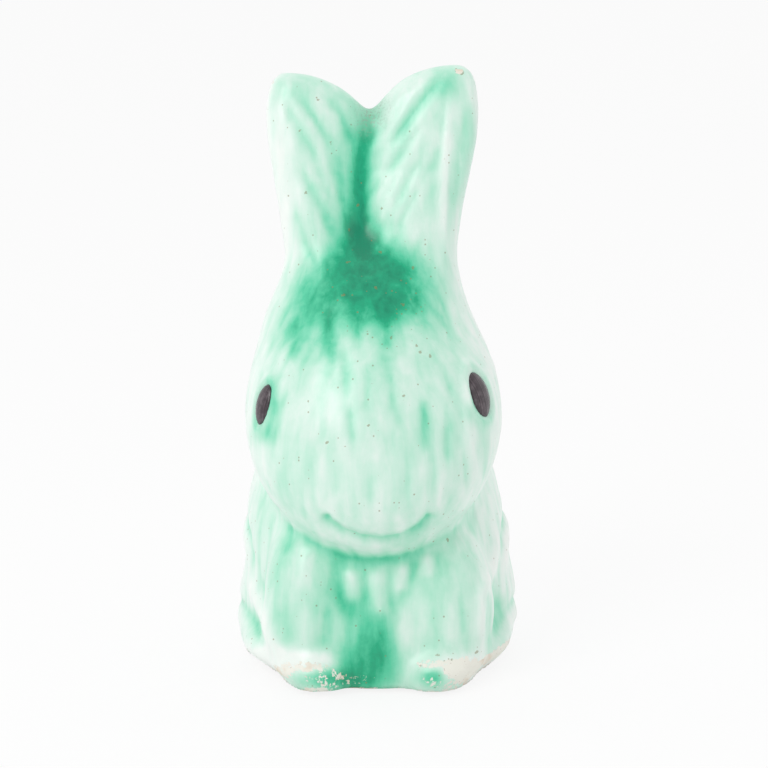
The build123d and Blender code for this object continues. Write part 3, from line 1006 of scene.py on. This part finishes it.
def glaze_material():
    """Satin celadon, darker where it pools, with dust, iron specks and worn places; its pool value also
    holds a painted highlight on the sides and a little painted shade on the rabbit's left flank.
    """
    t = Tree("celadon_glaze")
    pooled_and_painted_light = t.attribute("glaze_pool_and_painted_light")
    streaks = t.noise(520, 3, 0.55, (1, 1, 0.18), 0.4)
    bands = t.noise(230, 2, 0.5, (1, 1, 0.35))
    clouds = t.noise(95, 3, 0.6, (1, 1, 0.8))
    mottle = t.noise(950, 4, 0.65)
    fine = t.noise(1500, 3, 0.6)
    wander = pooled_and_painted_light
    for layer, least, more in (
        (streaks, 0.26, 0.10), (bands, 0.24, 0.06), (mottle, 0.05, 0.11), (clouds, 0.16, 0.0)
    ):
        wander = t.swing(layer, t.math("MULTIPLY_ADD", pooled_and_painted_light, more, least), wander)
    color = t.ramp(wander, GLAZE_STOPS)
    # grey dust in the top of the valley
    grains = t.band(t.noise(2600, 1, 0.5), 0.52, 0.62)
    dust = t.math("MULTIPLY", t.attribute("dusty"), t.math("MULTIPLY_ADD", grains, 0.45, 0.40))
    color = t.mix(dust, color, linear(*DUST_COLOR))
    # iron specks: small ones in some of the cells, and the larger ones
    cells = t.nodes.new("ShaderNodeTexVoronoi")
    cells.inputs["Scale"].default_value = IRON_CELLS
    t.links.new(t.place, cells.inputs["Vector"])
    chance = t.node("ShaderNodeSeparateColor", 0, {}, color=cells.outputs["Color"])
    rare = t.math("SUBTRACT", 1.0, t.math("MULTIPLY", t.attribute("specks"), 0.60))
    size = t.math("MULTIPLY", t.band(chance, rare, 1.0), IRON_RADIUS)
    outside = t.band(cells.outputs["Distance"], t.math("MULTIPLY", size, 0.5), t.math("ADD", size, 0.02))
    speck = t.math("MULTIPLY", t.math("SUBTRACT", 1.0, outside), t.math("GREATER_THAN", size, 0.02))
    spot = t.swing(t.noise(2200, 2, 0.6), 0.9, t.attribute("iron"))
    speck = t.math("MAXIMUM", speck, t.band(spot, 0.40, 0.56))
    color = t.mix(t.math("MULTIPLY", speck, 0.55), color, linear(*IRON_COLOR))
    # worn places
    ragged = t.swing(t.noise(520, 4, 0.65), 0.8, t.attribute("wear"))
    ragged = t.swing(t.noise(1500, 3, 0.6), 0.9, ragged)
    worn = t.band(ragged, 0.41, 0.52)
    warm = t.band(t.noise(180, 3, 0.6), 0.48, 0.68)
    clay = t.mix(warm, linear(*WORN_COLORS[0]), linear(*WORN_COLORS[1]))
    dots = t.band(t.noise(1400, 2, 0.6), 0.66, 0.70)
    clay = t.mix(t.math("MULTIPLY", dots, 0.5), clay, linear(*WORN_DOT_COLOR))
    color = t.mix(worn, color, clay)
    # more matt where it is worn, with a slightly uneven surface
    roughness = t.math("MULTIPLY_ADD", worn, 0.38, t.math("MULTIPLY_ADD", clouds, 0.14, 0.24))
    height = t.math("MULTIPLY_ADD", t.noise(420, 3, 0.5), 0.5, t.math("MULTIPLY", fine, 0.25))
    pits = t.math("MULTIPLY_ADD", t.noise(2400, 2, 0.6), 0.8, 0.5)
    height = t.math("SUBTRACT", height, t.math("MULTIPLY", worn, pits))
    height = t.math("SUBTRACT", height, t.math("MULTIPLY", speck, 0.4))
    t.shader.inputs["Sheen Weight"].default_value = 0.14
    t.shader.inputs["Sheen Roughness"].default_value = 0.4
    return t.finished(color, roughness, height, 0.35, 0.0002)


def clay_material():
    """Matt biscuit with a few dark grains."""
    t = Tree("bare_clay")
    clouds = t.noise(140, 4, 0.6)
    grain = t.noise(1800, 3, 0.65)
    color = t.ramp(clouds, [(0.3, (226, 210, 192)), (0.55, (238, 226, 210)), (0.75, (244, 236, 224))])
    dots = t.band(t.noise(1100, 2, 0.6), 0.64, 0.70)
    color = t.mix(t.math("MULTIPLY", dots, 0.55), color, linear(150, 118, 90))
    return t.finished(color, t.math("MULTIPLY_ADD", grain, 0.2, 0.68), grain, 0.5, 0.00015)


def eye_material():
    """Dark glossy glaze with lighter grey streaks lengthways: partly brush marks, partly painted highlight.
    """
    t = Tree("eye_glaze")
    brush = t.node("ShaderNodeMath", 0, {"operation": "MULTIPLY"}, i0=t.attribute("along"), i1=14.0)
    brush_and_highlight_streaks = t.node("ShaderNodeTexNoise", 0, {"noise_dimensions": "1D"}, w=brush, scale=1.0, detail=2.0)
    patch = t.noise(700, 3, 0.6)
    shade = t.math("MULTIPLY_ADD", patch, 0.6, t.math("MULTIPLY", brush_and_highlight_streaks, 0.5))
    # the lighter stops paint the streaky highlight on the glossy glaze along with its brush marks
    color = t.ramp(shade, [
        (0.32, (44, 35, 39)), (0.54, (68, 58, 64)), (0.68, (100, 90, 95)), (0.80, (150, 140, 143)),
    ])
    roughness = t.math("MULTIPLY_ADD", patch, 0.15, 0.12)
    return t.finished(color, roughness, t.math("ADD", patch, brush_and_highlight_streaks), 0.3, 0.0001)


glaze.data.materials.append(glaze_material())
clay.data.materials.append(clay_material())
dark = eye_material()
for piece in lenses.values():
    piece.data.materials.append(dark)

# ---- backdrop, lights and camera
WHITE = (1, 1, 1, 1)
FLOOR_GREY = (0.9, 0.9, 0.9, 1)
# The share of the floor that glows white where it is looked at
FLOOR_GLOW = 0.86
floor_mesh = bpy.data.meshes.new("floor")
floor_mesh.from_pydata([(-3, -3, 0), (3, -3, 0), (3, 3, 0), (-3, 3, 0)], [], [(0, 1, 2, 3)])
floor = placed("floor", floor_mesh)


def floor_material():
    """White where the camera, a reflection or a lens looks at it, but for the object's soft shadow."""
    t = Tree("white_floor")
    t.shader.inputs["Base Color"].default_value = FLOOR_GREY
    t.shader.inputs["Roughness"].default_value = 0.9
    t.shader.inputs["Specular IOR Level"].default_value = 0.0
    glow = t.nodes.new("ShaderNodeEmission")
    glow.inputs["Color"].default_value = WHITE
    glow.inputs["Strength"].default_value = 1.0
    path = t.nodes.new("ShaderNodeLightPath")
    direct = t.math("MAXIMUM", path.outputs["Is Camera Ray"], path.outputs["Is Glossy Ray"])
    mixed = t.nodes.new("ShaderNodeMixShader")
    t.links.new(t.math("MULTIPLY", direct, FLOOR_GLOW), mixed.inputs[0])
    t.links.new(t.shader.outputs[0], mixed.inputs[1])
    t.links.new(glow.outputs[0], mixed.inputs[2])
    t.links.new(mixed.outputs[0], t.nodes["Material Output"].inputs["Surface"])
    return t.material


floor_mesh.materials.append(floor_material())

# ---- the world: a white tent, darker towards the camera's side, and plain white where it is seen
world = bpy.data.worlds.new("studio")
bpy.context.scene.world = world
world.use_nodes = True
world_nodes, world_links = world.node_tree.nodes, world.node_tree.links
soft_light = world_nodes["Background"]
soft_light.inputs["Color"].default_value = WHITE
outward = world_nodes.new("ShaderNodeTexCoord")
split = world_nodes.new("ShaderNodeSeparateXYZ")
tent = world_nodes.new("ShaderNodeMapRange")
tent.interpolation_type = "SMOOTHSTEP"
for name, value in (("From Min", -0.8), ("From Max", 0.5), ("To Min", 0.42), ("To Max", 1.0)):
    tent.inputs[name].default_value = value
world_links.new(outward.outputs["Generated"], split.inputs[0])
world_links.new(split.outputs["Y"], tent.inputs["Value"])
world_links.new(tent.outputs[0], soft_light.inputs["Strength"])
white = world_nodes.new("ShaderNodeBackground")
white.inputs["Color"].default_value = WHITE
white.inputs["Strength"].default_value = 1.0
path = world_nodes.new("ShaderNodeLightPath")
which = world_nodes.new("ShaderNodeMixShader")
world_links.new(path.outputs["Is Camera Ray"], which.inputs[0])
world_links.new(soft_light.outputs[0], which.inputs[1])
world_links.new(white.outputs[0], which.inputs[2])
world_links.new(which.outputs[0], world_nodes["World Output"].inputs["Surface"])


def lamp(name, place, target, size, power):
    """A soft box that points at the target, in metres and watts."""
    data = bpy.data.lights.new(name, "AREA")
    data.shape = "RECTANGLE"
    data.size, data.size_y = size
    data.energy = power
    made = placed(name, data)
    made.location = place
    made.rotation_mode = "QUATERNION"
    made.rotation_quaternion = (Vector(target) - Vector(place)).to_track_quat("-Z", "Y")


MIDDLE = (0, 0, 0.05)
lamp("key", (-0.40, -0.55, 0.55), MIDDLE, (0.40, 0.5), 2.6)
lamp("fill", (0.6, -0.40, 0.30), MIDDLE, (0.4, 0.6), 0.55)

camera_data = bpy.data.cameras.new("camera")
camera = placed("camera", camera_data)
camera_data.lens = CAMERA_FOCAL
camera_data.sensor_width = SENSOR
camera_data.shift_x = -CAMERA_SHIFT_PIXELS[0] / FRAME_PIXELS
camera_data.shift_y = CAMERA_SHIFT_PIXELS[1] / FRAME_PIXELS
camera_data.clip_start = 0.01
camera_data.clip_end = 20
ahead, up, right = camera_axes()
place = (CAMERA_TARGET - ahead * CAMERA_DISTANCE) * MM
camera.matrix_world = Matrix([
    (right[0], up[0], -ahead[0], place[0]),
    (right[1], up[1], -ahead[1], place[1]),
    (right[2], up[2], -ahead[2], place[2]),
    (0, 0, 0, 1),
])
bpy.context.scene.camera = camera
bpy.context.scene.view_settings.view_transform = "Standard"

bpy.context.view_layer.update()
